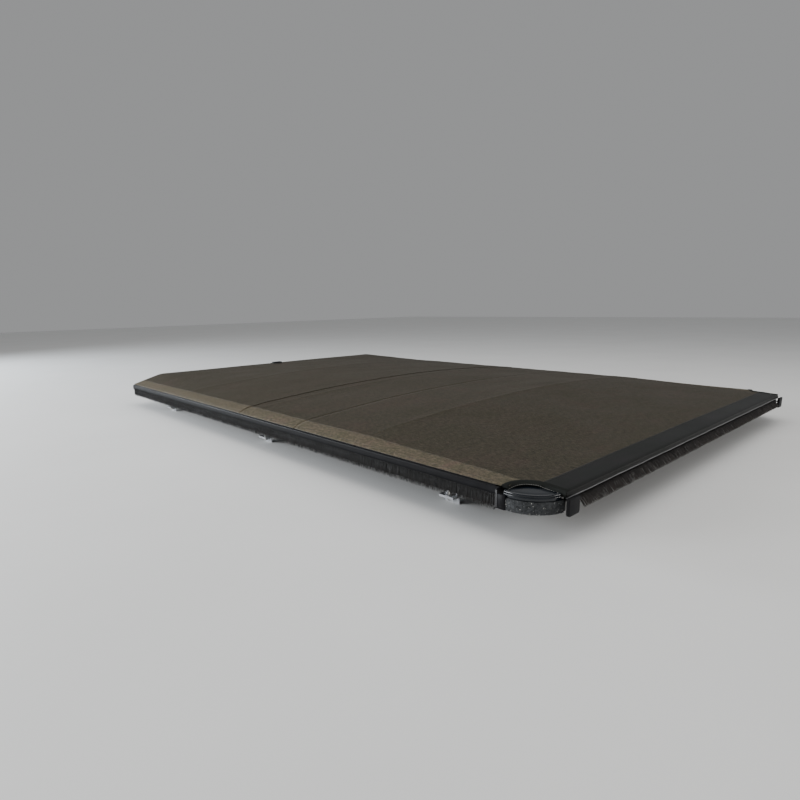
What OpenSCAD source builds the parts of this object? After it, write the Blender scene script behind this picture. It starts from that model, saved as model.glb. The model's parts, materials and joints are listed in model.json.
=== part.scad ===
/* [Cover] */
// Width of the cover between the outer edges of its side hems
cover_w = 1640; // [1500:10:1700]
// Length of the cover from its rear edge to its front edge
cover_l = 2300; // [2200:10:2400]
// Thickness of the coated cloth
cloth_t = 1.2; // [0.8:0.1:1.6]
// Height that the cloth gains just inside each side hem
edge_rise = 14; // [8:1:18]
// Extra height of the middle bow's arch at the centre line
bow_rise = 42; // [30:1:50]
// Height of the straight front edge over the side hems
front_rise = 39; // [34:1:44]
// Width of the sloping shoulder at each end of the front edge
shoulder_w = 135; // [120:5:160]
// Dip of the cloth halfway between two bows
cloth_sag = 3; // [0:0.5:5]

/* [Heights] */
// Height of the load bed's rim over the lowest point of the clamps
rim_z = 80; // [76:1:90]
// Height of the cloth's outer edge over the rim
hem_over_rim = 24; // [22:1:26]
// Lowest point of the side brushes over the lowest point of the clamps
brush_z = 57; // [52:1:62]

/* [Rails] */
// Wall thickness of the aluminium profiles
wall = 3; // [2.5:0.5:3.5]
// Depth of the rail's inner leg below the rim
leg_depth = 34; // [30:1:36]
// Width of the flat base that lies on the rim
rail_base_w = 84; // [80:1:88]

/* [Bows] */
// Outer radius of a bow tube
bow_r = 9; // [8:0.5:10]
// Wall of a bow tube
bow_wall = 1.5; // [1:0.5:2]
// Distance between neighbouring bows
bow_pitch = 575; // [560:5:580]
// Height of the rear bow's arch as a share of the others
rear_bow_share = 0.96; // [0.92:0.01:1]

/* [Rear corners] */
// Outer radius of the moulded corner cap
cap_r = 80; // [76:1:82]
// Radius of the arch cut out of the cloth over the cap
arch_r = 50; // [46:1:54]
// Height that the cloth is lifted where it crosses the cap
arch_lift = 1; // [0:1:3]

/* [Clamps] */
// Distance between neighbouring clamps on one rail
clamp_pitch = 850; // [700:10:880]
// Radius of the clamp bolt's shank
bolt_r = 4; // [3:0.5:4]
// Travel of a clamp jaw from gripping to open
jaw_travel = 19; // [10:1:19]

/* [Hidden] */

// Small gap between pieces that lie beside each other
gap = 0.3;
half_w = cover_w / 2;
half_l = cover_l / 2;
hem_z = rim_z + hem_over_rim;
under_z = hem_z - cloth_t;
edge_run = 25;

// Stations along the length
bow_y = [bow_pitch, 0, -bow_pitch];
bow_share = [1, 1, rear_bow_share];
rail_front = half_l - 30;
rail_rear = -1036;
panel_gap = 0.4;

// Cross sections: u is the distance out from the centre line
rail_u = half_w + 6;
rail_in = rail_u - rail_base_w;
base_top = rim_z + wall;
rib_u = rail_u - 24.5;
bead_r = 2.2;
bead_z = rim_z + 15;
nose_r = 3;
nose_z = hem_z - 5.2;
clamp_relief = 0.8;

// Rear bar: v is the distance back from the middle
bar_v = half_l - 7;
bar_in = bar_v - 58;
bar_rib_v = bar_v - 4.5;
bar_notch_x = 668;
bar_half = 749.5;
bar_lip = 20;
tab_x = 735;
tab_w = 40;
tab_out = half_l + 14;
tab_t = 7;

// Rear corner centre, as distances out and back
corner_u = 750;
corner_v = 1065;
cap_front_turn = 10;
cap_rear_turn = -76;
skirt_low = brush_z + 3;
skirt_top = base_top + 3;
arch_u = half_w - 5;
arch_v = half_l - 47;

// Front header
header_in = half_l - 28;
header_out = half_l - 2;
header_low = rim_z + 32;
header_top = hem_z + front_rise - 4.6;
header_half = half_w - 150;
header_wall = 2.5;
clip_face = header_out + 3.3;

// Bows and sockets
bow_half = 728;
socket_u = 737;
plug_w = 18;
plug_l = 16;
socket_play = 5;

// Clamps
clamp_ys = [clamp_pitch, 0, -clamp_pitch];
spine_in = rail_in + wall;
spine_out = spine_in + 4;
bolt_u = spine_out + 8;
foot_low = 16;
foot_t = 6;
jaw_low = 44;
jaw_h = 10;
jaw_out = spine_out + 33;
clamp_w = 44;
jaw_w = 36;

// Seals
seal_u = rail_u;
seal_depth = 7;
rear_brush_z = 65;
tab_low = 58;
rear_brush_half = 722;
bulb_r = 7;
bulb_in_r = 4.8;

// Screws that hold the corners to the rails and the bar
screw_r = 2.4;
screw_hole_r = 2.6;
rear_lug_t = 3;
rail_screw_y = [-1018, -1030];
rail_screw_u = 778;
bar_screw_x = [645, 657];
bar_screw_v = 1112;
lug_w = 32;

// Roll strap
strap_x = -30;
strap_w = 40;
strap_t = 1.6;
strap_low = header_low + 2;
strap_end = half_l - 66;
strap_z = hem_z + front_rise + gap;

// ---- shape of the cover ----

function mix(a, b, t) = a + (b - a) * t;
function arch(x) = edge_rise * (1 - exp(-(half_w - abs(x)) / edge_run))
    + bow_rise * (1 - pow(x / half_w, 2));
function front_line(x) = front_rise * min(1, (half_w - abs(x)) / shoulder_w);
function dip(x, t) = 4 * t * (1 - t) * cloth_sag * (1 - pow(x / half_w, 2));

// Height of the cloth over the hems, span by span from the front
function span_height(x, y, i) = let (
        t = i == 0 ? (half_l - y) / (half_l - bow_pitch) : (bow_y[i - 1] - y) / bow_pitch,
        start = i == 0 ? front_line(x) : arch(x) * bow_share[i - 1],
        end = i == 3 ? 0 : arch(x) * bow_share[i])
    mix(start, end, min(1, t)) - dip(x, t);

// Lift over the corner cap: greatest on the arch's diagonal, nothing at its two ends
function corner_lift(x, y) = let (
        du = arch_u - abs(x),
        dv = y + arch_v,
        r = max(arch_r, norm([du, dv])),
        turn = atan2(dv, du) - 45)
    arch_lift * exp(-(r - arch_r) / 40) * max(0, 1 - pow(turn / 70, 2));

function cover_z(x, y, i) = hem_z + span_height(x, y, i) + (i == 3 ? corner_lift(x, y) : 0);

// Rows of one panel: [y, half width there]. The rear one ends in an arc and a straight cut
// over each corner cap
span_steps = 8;
function straight_rows(y0, y1, n) = [for (k = [0:n]) [mix(y0, y1, k / n), half_w]];
arch_start = 6;
arch_steps = 10;
arch_rows = concat([for (k = [0:arch_steps]) let (a = mix(arch_start, 90, k / arch_steps))
    [-arch_v + arch_r * cos(a), arch_u - arch_r * sin(a)]],
    [[-half_l, arch_u - arch_r]]);
function panel_rows(i) = i == 0 ? straight_rows(half_l, bow_y[0] + panel_gap, span_steps)
    : i < 3 ? straight_rows(bow_y[i - 1] - panel_gap, bow_y[i] + panel_gap, span_steps)
    : concat(straight_rows(bow_y[2] - panel_gap, -arch_v + arch_r + 1, span_steps), arch_rows);

// Columns are closer together near the hems, where the cloth bends most
cols = 26;
function col_x(j, limit) = limit * sin(180 * j / cols - 90);

// One span of cloth between two bows, as a closed skin around its thickness
module sheet(i) {
    rows = panel_rows(i);
    nr = len(rows);
    nc = cols + 1;
    top = [for (row = rows) for (j = [0:cols]) let (x = col_x(j, row[1]))
        [x, row[0], cover_z(x, row[0], i)]];
    low = [for (p = top) p - [0, 0, cloth_t]];
    n = nr * nc;
    faces = concat(
        [for (r = [0:nr - 2]) for (j = [0:cols - 1])
            [r * nc + j, r * nc + j + 1, (r + 1) * nc + j + 1, (r + 1) * nc + j]],
        [for (r = [0:nr - 2]) for (j = [0:cols - 1])
            [n + r * nc + j, n + (r + 1) * nc + j, n + (r + 1) * nc + j + 1, n + r * nc + j + 1]],
        [for (j = [0:cols - 1]) [j, n + j, n + j + 1, j + 1]],
        [for (j = [0:cols - 1]) let (a = (nr - 1) * nc + j) [a, a + 1, n + a + 1, n + a]],
        [for (r = [0:nr - 2]) let (a = r * nc) [a, a + nc, n + a + nc, n + a]],
        [for (r = [0:nr - 2]) let (a = r * nc + cols) [a, n + a, n + a + nc, a + nc]]);
    polyhedron(points = concat(top, low), faces = faces, convexity = 4);
}

module cover_panel(i) {
    color("darkslategray") sheet(i);
}

// ---- helpers ----

// Rectangle between two corners
module span2(a0, b0, a1, b1) {
    translate([a0, b0]) square([a1 - a0, b1 - b0]);
}

// Extrude a (u, z) section along the length, from y0 forward to y1
module along_y(y0, y1) {
    translate([0, y1, 0]) rotate([90, 0, 0]) linear_extrude(y1 - y0) children();
}

// Extrude a (v, z) section across the width, v pointing forward
module along_x(half) {
    translate([-half, 0, 0]) rotate([90, 0, 90]) linear_extrude(2 * half) children();
}

// The same, with v pointing back
module along_x_rear(half) {
    mirror([0, 1, 0]) along_x(half) children();
}

// Build on the right, or mirrored on the left
module on_side(side) {
    mirror([side < 0 ? 1 : 0, 0, 0]) children();
}

// ---- frame ----

// Base with a shallow relief over the clamps, rib for the clips, and rounded nose outside
module rail_section() {
    span2(spine_in, rim_z + clamp_relief, spine_out + 2, base_top);
    span2(spine_out + 2, rim_z, rail_u, base_top);
    span2(rib_u - wall / 2, rim_z, rib_u + wall / 2, bead_z);
    translate([rib_u, bead_z]) circle(bead_r, $fn = 32);
    span2(rail_u - 2 * nose_r, rim_z, rail_u, nose_z);
    translate([rail_u - nose_r, nose_z]) circle(nose_r, $fn = 40);
}

module rail(side) {
    color("dimgray") on_side(side) difference() {
        along_y(rail_rear, rail_front) rail_section();
        for (y = rail_screw_y)
            translate([rail_screw_u, y, rim_z - 1]) cylinder(wall + 2, r = screw_hole_r, $fn = 24);
    }
}

// Flange along the base's inner edge, hanging inside the load bed for the clamps
module flange(side) {
    color("dimgray") on_side(side) along_y(rail_rear, rail_front)
        span2(rail_in, rim_z - leg_depth, spine_in, base_top);
}

// Box section under the cloth's straight front edge
module front_header() {
    w = header_wall;
    color("dimgray") along_x(header_half) difference() {
        span2(header_in, header_low, header_out, header_top);
        span2(header_in + w, header_low + w, header_out - w, header_top - w);
    }
}

// Bar over the tailgate's sill, with the rib that the rolled lip hooks round
module rear_bar() {
    color("dimgray") difference() {
        along_x_rear(bar_half) union() {
            span2(bar_in, rim_z, bar_v, base_top);
            span2(bar_in, rim_z - bar_lip, bar_in + wall, base_top);
            span2(bar_rib_v - wall / 2, rim_z, bar_rib_v + wall / 2, bead_z);
            translate([bar_rib_v, bead_z]) circle(bead_r, $fn = 32);
        }
        for (s = [-1, 1]) {
            // Room for the corner piece: only the outer wall runs on to the end
            translate([s > 0 ? bar_notch_x : -bar_half - 1, -bar_rib_v + 2.5, 0])
                cube([bar_half - bar_notch_x + 1, 100, hem_z]);
            for (x = bar_screw_x)
                translate([s * x, -bar_screw_v, rim_z - 1])
                    cylinder(wall + 2, r = screw_hole_r, $fn = 24);
        }
    }
}

// Solid wedge that carries the sloping shoulder and joins the header to the rail
module front_corner(side) {
    color("black") on_side(side) along_y(rail_front, header_out) polygon([
        [spine_in, rim_z], [rail_u, rim_z], [rail_u, hem_z - 6], [rail_u - 3, hem_z - 3.5],
        [header_half, header_top], [header_half, header_low], [spine_in, hem_z - 8]]);
}

// Joins the side rail to the rear bar, round the corner of the load bed
module rear_corner(side) {
    lug_in = rail_screw_u - lug_w / 2;
    color("black") on_side(side) difference() {
        union() {
            translate([corner_u, -corner_v, 0]) rotate([0, 0, -90]) rotate_extrude(angle = 90, $fn = 96)
                union() {
                    span2(20, rim_z, cap_r - 3, base_top);
                    span2(cap_r - 6, rim_z - bar_lip, cap_r - 3, base_top);
                }
            // Lug on the rail's base
            translate([lug_in, -corner_v, base_top]) cube([lug_w, 60, rear_lug_t]);
            translate([lug_in, -corner_v, rim_z])
                cube([lug_w, rail_rear + corner_v - gap, wall]);
            // Lug on the bar's base
            translate([bar_screw_x[0] - 10, -bar_screw_v - 14, base_top])
                cube([corner_u - bar_screw_x[0] + 10, 28, rear_lug_t]);
            translate([bar_notch_x + gap, -bar_screw_v - 14, rim_z])
                cube([corner_u - bar_notch_x - gap, 28, wall]);
        }
        for (y = rail_screw_y)
            translate([rail_screw_u, y, rim_z - 1]) cylinder(9, r = screw_hole_r, $fn = 24);
        for (x = bar_screw_x)
            translate([x, -bar_screw_v, rim_z - 1]) cylinder(9, r = screw_hole_r, $fn = 24);
    }
}

// Domed moulding: lower band, raised ridge ring, and shallow dome stepped inward
module rear_cap(side) {
    shell = 2.5;
    band_top = hem_z - 9;
    ring_z = band_top + 1.5;
    dome = [[cap_r - 4, 3.5], [cap_r - 12, 5.3], [cap_r - 24, 6.5]];
    color("midnightblue") on_side(side) translate([corner_u, -corner_v, 0])
        rotate([0, 0, cap_rear_turn]) rotate_extrude(angle = cap_front_turn - cap_rear_turn, $fn = 96)
            difference() {
                union() {
                    span2(0, base_top + gap, cap_r - 3, band_top);
                    span2(0, skirt_top + gap, cap_r, band_top);
                    translate([cap_r - 3.5, ring_z]) circle(3.5, $fn = 32);
                    for (d = dome) span2(0, band_top - 1, d[0], band_top + d[1]);
                }
                span2(-1, base_top - 1, cap_r - 3 - shell, band_top);
                span2(-1, base_top - 1, cap_r - 24 - shell, band_top + 6.5 - shell);
            }
}

// Flat plate that closes the rear end of the rail and its brush
module end_plate(side) {
    color("dimgray") on_side(side) along_y(rail_rear - 3, rail_rear - gap) difference() {
        span2(rib_u - 12, brush_z + 3, rail_u + 8.5, hem_z - 2.5);
        span2(rib_u - 13, brush_z + 2, rail_u - 12, base_top + rear_lug_t + 1);
    }
}

// Block that hangs outside each end of the rear bar, on a short tongue
module bar_tab(side) {
    tongue_w = bar_half - tab_x - 2;
    color("black") on_side(side) {
        along_tab(tab_w) span2(tab_out - tab_t, tab_low, tab_out, hem_z - 10);
        along_tab(tongue_w) {
            span2(bar_v, rim_z, tab_out - tab_t + 1, base_top);
            span2(bar_v, rim_z - 6, bar_v + 3, rim_z + 6);
        }
    }
}

module along_tab(w) {
    mirror([0, 1, 0]) translate([tab_x, 0, 0]) rotate([90, 0, 90]) linear_extrude(w) children();
}

// ---- seals ----

// Side brush: the holder strip and its pile, as one solid
module brush_seal(side) {
    color("black") on_side(side) along_y(rail_rear + gap, rail_front) union() {
        span2(seal_u, rim_z - 4, seal_u + seal_depth, rim_z + 8);
        span2(seal_u + 1, brush_z, seal_u + seal_depth - 1, rim_z - 4);
    }
}

// Brush under the rear edge, between the two tabs: holder strip and outward-leaning pile
module rear_brush_seal() {
    color("black") along_x_rear(rear_brush_half) union() {
        span2(bar_v, rim_z - 4, bar_v + 8, rim_z + 6);
        polygon([[bar_v + 1, rim_z - 4], [bar_v + 8, rim_z + 6], [tab_out, rear_brush_z + 5],
            [tab_out - 5, rear_brush_z]]);
    }
}

// Bulb seal under the header, against the front wall of the load bed
module front_seal() {
    bulb = [header_out + 9, header_low - bulb_r - 1];
    color("black") along_x(header_half) union() {
        span2(header_out - 18, header_low - 2, bulb[0], header_low);
        difference() {
            translate(bulb) circle(bulb_r, $fn = 40);
            translate(bulb) circle(bulb_in_r, $fn = 40);
        }
    }
}

// Rubber skirt under the cap, with a straight cheek forward to the end plate
module rear_skirt(side) {
    turn = [cap_rear_turn - 4, cap_front_turn + 2];
    cheek_in = cap_r + gap;
    color("black") on_side(side) translate([corner_u, -corner_v, 0]) {
        rotate([0, 0, turn[0]]) rotate_extrude(angle = turn[1] - turn[0], $fn = 96)
            span2(cap_r - 3 + gap, skirt_low, cap_r + 3, skirt_top);
        translate([cheek_in, 5, skirt_low])
            cube([4, corner_v + rail_rear - 3 - gap - 5, hem_z - 13 - skirt_low]);
    }
}

// ---- bows and what holds them ----

// Open cups on the rail's base that the bows' feet stand in
module bow_sockets(side) {
    w = plug_w + 2 * socket_play;
    l = plug_l + 2 * socket_play;
    color("black") on_side(side) for (y = bow_y) translate([socket_u, y, base_top])
        difference() {
            translate([-w / 2 - 2.5, -l / 2 - 2.5, 0]) cube([w + 5, l + 5, 15]);
            translate([-w / 2, -l / 2, 2]) cube([w, l, 15]);
        }
}

// Height of a bow tube's axis at a distance x from the centre line
function bow_axis_z(i, x) = under_z + arch(x) * bow_share[i] - gap - bow_r;
function bow_drop(i) = bow_axis_z(i, 0) - bow_axis_z(i, bow_half);
function bow_radius(i) = (pow(bow_half, 2) + pow(bow_drop(i), 2)) / (2 * bow_drop(i));
function bow_half_angle(i) = asin(bow_half / bow_radius(i));

// Arched tube under the cloth
module bow(i) {
    r = bow_radius(i);
    a = bow_half_angle(i);
    color("silver") translate([0, bow_y[i], bow_axis_z(i, 0) - r]) rotate([90, 0, 0])
        rotate([0, 0, 90 - a]) rotate_extrude(angle = 2 * a, $fn = 1080) translate([r, 0])
            difference() {
                circle(bow_r, $fn = 32);
                circle(bow_r - bow_wall, $fn = 32);
            }
}

// Foot that plugs into a tube's end and stands in the socket
module bow_plugs(i) {
    low = base_top + 3.5;
    top = bow_axis_z(i, bow_half) + 4;
    color("black") for (s = [-1, 1]) on_side(s) translate([0, bow_y[i], 0]) {
        translate([bow_half + 1, -plug_l / 2, low]) cube([plug_w - 1, plug_l, top - low]);
        translate([bow_half + 2, 0, bow_axis_z(i, bow_half)])
            rotate([0, bow_half_angle(i), 0]) rotate([0, -90, 0])
                cylinder(26, r = bow_r - bow_wall - 0.3, $fn = 32);
    }
}

// ---- clip strips under the cloth's edges ----

// How far the fillet under the hem may rise in each span before it meets the cloth
fillet_rise = [0.8, 4, 4, 0.8];

// Cap over the rail's rib, and a fillet that carries the hem
module clip_section(i) {
    side_play = 1.8;
    low = base_top + 4;
    web = hem_z - 5;
    in = rib_u - bead_r - side_play;
    out = rib_u + bead_r + side_play;
    span2(in - 2.5, low, in, web + 2.5);
    span2(out, low, out + 2.5, web + 2.5);
    span2(in - 2.5, web, half_w - 1, web + 2.5);
    polygon([[half_w - 8, web + 2], [half_w - 1, web + 2], [half_w - 1, under_z - gap],
        [half_w - 8, under_z + fillet_rise[i]]]);
}

clip_y = [[bow_y[0] + 4, half_l - 35], [bow_y[1] + 4, bow_y[0] - 4], [bow_y[2] + 4, bow_y[1] - 4],
    [rail_rear + 10, bow_y[2] - 4]];

module clip(side, i) {
    color("black") on_side(side) along_y(clip_y[i][0], clip_y[i][1]) clip_section(i);
}

// Angle strip between the header and the cloth's front edge
module front_clip() {
    color("black") along_x(header_half) union() {
        span2(header_in + 4, header_top, header_out + gap, header_top + 2.3);
        span2(header_out + gap, header_top - 12, clip_face, header_top + 2.3);
    }
}

// J-shaped strip whose rolled lip hooks outside the rear bar's rib
module rear_clip() {
    lip_r = 4.5;
    lip_v = bar_rib_v + bead_r + 1 + lip_r;
    web = hem_z - 4.2;
    lip_z = web - 4.8;
    end = arch_u - arch_r - 2;
    cut_x = 690;
    color("black") difference() {
        along_x_rear(end) union() {
            span2(half_l - 32, web, lip_v + 2.8, web + 2.5);
            span2(lip_v - 0.2, lip_z, lip_v + 2.8, web + 2.5);
            difference() {
                translate([lip_v, lip_z]) circle(lip_r, $fn = 40);
                translate([lip_v, lip_z]) circle(lip_r - 2, $fn = 40);
            }
        }
        // The flat web is cut back beside the corner caps
        for (s = [-1, 1])
            translate([s > 0 ? cut_x : -end - 1, -half_l + 13, web - 1])
                cube([end + 1 - cut_x, 30, 6]);
    }
}

// ---- clamps ----

// Spine against the flange, and a foot that holds the bolt
module clamp_brackets(side) {
    color("silver") on_side(side) for (y = clamp_ys) translate([0, y, 0]) {
        translate([spine_in, -clamp_w / 2, 0]) cube([spine_out - spine_in, clamp_w, rim_z - gap]);
        difference() {
            translate([spine_out - 1, -clamp_w / 2, foot_low]) cube([24, clamp_w, foot_t]);
            translate([bolt_u, 0, foot_low - 1]) cylinder(foot_t + 2, r = bolt_r + 0.1, $fn = 32);
        }
    }
}

// Clamps 1 to 3 are on the left rail and 4 to 6 on the right, from the front
function clamp_side(k) = k < 3 ? -1 : 1;

// Jaw that the bolt draws up under the load bed's lip
module clamp_jaw(k) {
    color("silver") on_side(clamp_side(k)) translate([0, clamp_ys[k % 3], 0]) difference() {
        union() {
            translate([spine_out + gap, -jaw_w / 2, jaw_low])
                cube([jaw_out - spine_out - gap, jaw_w, jaw_h - 2]);
            translate([bolt_u + 7, -jaw_w / 2, jaw_low])
                cube([jaw_out - bolt_u - 7, jaw_w, jaw_h]);
        }
        translate([bolt_u, 0, jaw_low - 1]) cylinder(jaw_h + 2, r = bolt_r + 0.1, $fn = 32);
    }
}

// Hexagon bolt with a collar over the bracket's foot
module clamp_bolt(k) {
    collar = foot_low + foot_t + gap;
    color("gainsboro") on_side(clamp_side(k)) translate([bolt_u, clamp_ys[k % 3], 0]) {
        translate([0, 0, foot_low - gap - 7]) cylinder(7, r = 7.2, $fn = 6);
        translate([0, 0, foot_low - gap - 1]) cylinder(rim_z - 10 - foot_low, r = bolt_r, $fn = 32);
        translate([0, 0, collar]) cylinder(1.5, r = 6.5, $fn = 32);
    }
}

// ---- fasteners, strap and buckle ----

// Pan-headed screw down through a lug and the base under it
module screw(x, y) {
    translate([x, y, rim_z + 0.5]) cylinder(base_top + rear_lug_t - rim_z, r = screw_r, $fn = 24);
    translate([x, y, base_top + rear_lug_t]) cylinder(2.2, r = 4.6, $fn = 24);
}

module corner_screws() {
    color("gray") for (s = [-1, 1]) on_side(s) {
        for (y = rail_screw_y) screw(rail_screw_u, y);
        for (x = bar_screw_x) screw(x, -bar_screw_v);
    }
}

// Webbing strap that ties the rolled cover, lying over the front edge
module roll_strap() {
    face = clip_face + gap;
    rise = 2.5;
    color("black") translate([strap_x - strap_w / 2, 0, 0]) rotate([90, 0, 90])
        linear_extrude(strap_w) polygon([
            [strap_end, strap_z + rise], [half_l, strap_z], [face, strap_z - 1.5], [face, strap_low],
            [face + strap_t, strap_low], [face + strap_t, strap_z - 0.8],
            [half_l + 0.6, strap_z + strap_t], [strap_end, strap_z + rise + strap_t]]);
}

// Three-bar buckle threaded on the strap
module strap_buckle() {
    frame_w = 50;
    frame_l = 26;
    frame_t = 4.5;
    rail_t = 4;
    place = [strap_x - frame_w / 2, half_l - 48, strap_z + strap_t + 2.2];
    color("black") translate(place) difference() {
        cube([frame_w, frame_l, frame_t]);
        for (k = [0, 1])
            translate([rail_t, rail_t + k * 11, -1]) cube([frame_w - 2 * rail_t, 7, frame_t + 2]);
    }
}

rail(-1);  // left_rail
rail(1);  // right_rail
union() { flange(-1); flange(1); }  // rail_flanges
front_header();
rear_bar();
front_corner(-1);  // front_left_corner
front_corner(1);  // front_right_corner
rear_corner(-1);  // rear_left_corner
rear_corner(1);  // rear_right_corner
rear_cap(-1);  // rear_left_cap
rear_cap(1);  // rear_right_cap
end_plate(-1);  // left_end_plate
end_plate(1);  // right_end_plate
bar_tab(-1);  // left_bar_tab
bar_tab(1);  // right_bar_tab
brush_seal(-1);  // left_brush_seal
brush_seal(1);  // right_brush_seal
rear_brush_seal();
front_seal();
rear_skirt(-1);  // rear_left_skirt
rear_skirt(1);  // rear_right_skirt
bow_sockets(-1);  // left_bow_sockets
bow_sockets(1);  // right_bow_sockets
clamp_brackets(-1);  // left_clamp_brackets
clamp_brackets(1);  // right_clamp_brackets
corner_screws();
roll_strap();
strap_buckle();
front_clip();
rear_clip();
cover_panel(0);  // cover_panel_1
cover_panel(1);  // cover_panel_2
cover_panel(2);  // cover_panel_3
cover_panel(3);  // cover_panel_4
clip(-1, 0);  // left_clip_1
clip(-1, 1);  // left_clip_2
clip(-1, 2);  // left_clip_3
clip(-1, 3);  // left_clip_4
clip(1, 0);  // right_clip_1
clip(1, 1);  // right_clip_2
clip(1, 2);  // right_clip_3
clip(1, 3);  // right_clip_4
bow(0);  // bow_1
bow(1);  // bow_2
bow(2);  // bow_3
bow_plugs(0);  // bow_plugs_1
bow_plugs(1);  // bow_plugs_2
bow_plugs(2);  // bow_plugs_3
clamp_jaw(0);  // clamp_jaw_1
clamp_jaw(1);  // clamp_jaw_2
clamp_jaw(2);  // clamp_jaw_3
clamp_jaw(3);  // clamp_jaw_4
clamp_jaw(4);  // clamp_jaw_5
clamp_jaw(5);  // clamp_jaw_6
clamp_bolt(0);  // clamp_bolt_1
clamp_bolt(1);  // clamp_bolt_2
clamp_bolt(2);  // clamp_bolt_3
clamp_bolt(3);  // clamp_bolt_4
clamp_bolt(4);  // clamp_bolt_5
clamp_bolt(5);  // clamp_bolt_6
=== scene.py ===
"""The looks of a soft load bed cover: cloth, hems, stitching, bristle seals, mouldings and metal.

All lengths are in metres, in the frame's axes: +X right, +Y forward to the cab, +Z up.
"""

import json
import math
import random

import bpy
import numpy as np
from mathutils import Matrix, Vector, noise


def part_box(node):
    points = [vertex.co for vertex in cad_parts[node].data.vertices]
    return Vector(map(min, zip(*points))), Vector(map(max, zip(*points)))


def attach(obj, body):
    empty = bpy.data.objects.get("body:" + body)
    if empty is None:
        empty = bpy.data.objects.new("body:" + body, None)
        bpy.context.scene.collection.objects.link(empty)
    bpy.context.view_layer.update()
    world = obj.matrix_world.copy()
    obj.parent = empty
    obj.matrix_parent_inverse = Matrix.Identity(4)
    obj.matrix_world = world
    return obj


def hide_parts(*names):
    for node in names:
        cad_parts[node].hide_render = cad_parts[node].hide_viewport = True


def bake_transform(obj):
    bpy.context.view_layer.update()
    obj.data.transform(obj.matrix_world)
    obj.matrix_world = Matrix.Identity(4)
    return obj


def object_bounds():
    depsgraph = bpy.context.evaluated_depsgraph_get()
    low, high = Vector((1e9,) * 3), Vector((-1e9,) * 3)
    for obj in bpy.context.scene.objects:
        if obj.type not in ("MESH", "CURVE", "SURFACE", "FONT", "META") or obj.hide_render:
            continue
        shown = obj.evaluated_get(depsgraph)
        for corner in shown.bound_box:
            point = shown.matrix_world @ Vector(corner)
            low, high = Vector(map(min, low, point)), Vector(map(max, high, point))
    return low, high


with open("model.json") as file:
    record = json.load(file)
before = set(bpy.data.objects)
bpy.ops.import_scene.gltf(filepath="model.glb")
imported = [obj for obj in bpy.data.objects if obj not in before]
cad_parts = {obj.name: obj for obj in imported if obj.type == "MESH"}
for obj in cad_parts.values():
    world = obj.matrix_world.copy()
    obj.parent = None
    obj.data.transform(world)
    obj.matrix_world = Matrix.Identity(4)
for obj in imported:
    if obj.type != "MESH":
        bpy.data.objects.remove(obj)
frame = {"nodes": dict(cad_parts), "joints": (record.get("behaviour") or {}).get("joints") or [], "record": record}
cad_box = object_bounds()
MM = 0.001

# ---------------------------------------------------------------- sizes from the frame

CLOTH_T = 1.2 * MM
HALF_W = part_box("cover_panel_2")[1].x
HALF_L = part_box("cover_panel_1")[1].y
HEM_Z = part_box("cover_panel_2")[0].z + CLOTH_T
JOINTS = {j["name"]: j for j in frame["joints"]}
BOW_Y = [JOINTS[f"roll_{i}"]["pos_m"][1] for i in (1, 2, 3)]
BOW_Z = [JOINTS[f"roll_{i}"]["pos_m"][2] for i in (1, 2, 3)]
CROWN = BOW_Z[0] - MM - HEM_Z
EDGE_RISE, EDGE_RUN = 14 * MM, 25 * MM
BOW_RISE = CROWN - EDGE_RISE
REAR_SHARE = (BOW_Z[2] - MM - HEM_Z) / CROWN
FRONT_RISE, SHOULDER = 39 * MM, 135 * MM
SAG = 3 * MM
RIDGE_RISE, RIDGE_RUN = 1.0 * MM, 9 * MM
CAP_R = 80 * MM
CAP_TURNS = (-10, 76)
CORNER = Vector((-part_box("rear_left_cap")[0].x - CAP_R,
                 -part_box("rear_left_cap")[0].y - CAP_R * math.sin(math.radians(CAP_TURNS[1]))))
ARCH_R, ARCH_LIFT = 50 * MM, 1 * MM
ARCH = Vector((HALF_W - 5 * MM, HALF_L - 47 * MM))

# The cloth's own layout
SEAM_Y = 58 * MM
SPLIT_Y = (BOW_Y[1] + BOW_Y[2]) / 2
SIDE_HEM, REAR_HEM = 50 * MM, 60 * MM
HEM_STEP = 0.9 * MM
LOOSE_FROM = 0.70


def mix(a, b, t):
    return a + (b - a) * t


def smooth(a, b, x):
    t = np.clip((x - a) / (b - a), 0.0, 1.0)
    return t * t * (3 - 2 * t)


# ---------------------------------------------------------------- shape of the cloth


def arch(x):
    return EDGE_RISE * (1 - np.exp(-(HALF_W - abs(x)) / EDGE_RUN)) + BOW_RISE * (1 - (x / HALF_W) ** 2)


def front_line(x):
    ramp = [np.minimum(1, np.maximum(0, HALF_W - abs(x) + d) / SHOULDER) for d in (-12 * MM, 0, 12 * MM)]
    fade = np.minimum(1, (HALF_W - abs(x)) / (20 * MM))
    return FRONT_RISE * (mix(ramp[1], (ramp[0] + ramp[1] + ramp[2]) / 3, fade))


def spans(x, y):
    """Height over the hems, without the rounding over the bows."""
    stations = [(HALF_L, front_line(x)), (BOW_Y[0], arch(x)), (BOW_Y[1], arch(x)),
                (BOW_Y[2], arch(x) * REAR_SHARE), (-HALF_L, 0 * x)]
    z = 0 * x
    for (y0, z0), (y1, z1) in zip(stations, stations[1:]):
        t = (y0 - y) / (y0 - y1)
        inside = (t > 0) & (t <= 1) if y0 < HALF_L else t <= 1
        inside = inside | (t > 1) if y1 == -HALF_L else inside
        t = np.clip(t, 0, 1)
        dip = 4 * t * (1 - t) * SAG * (1 - (x / HALF_W) ** 2)
        z = np.where(inside, mix(z0, z1, t) - dip, z)
    return z


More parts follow.
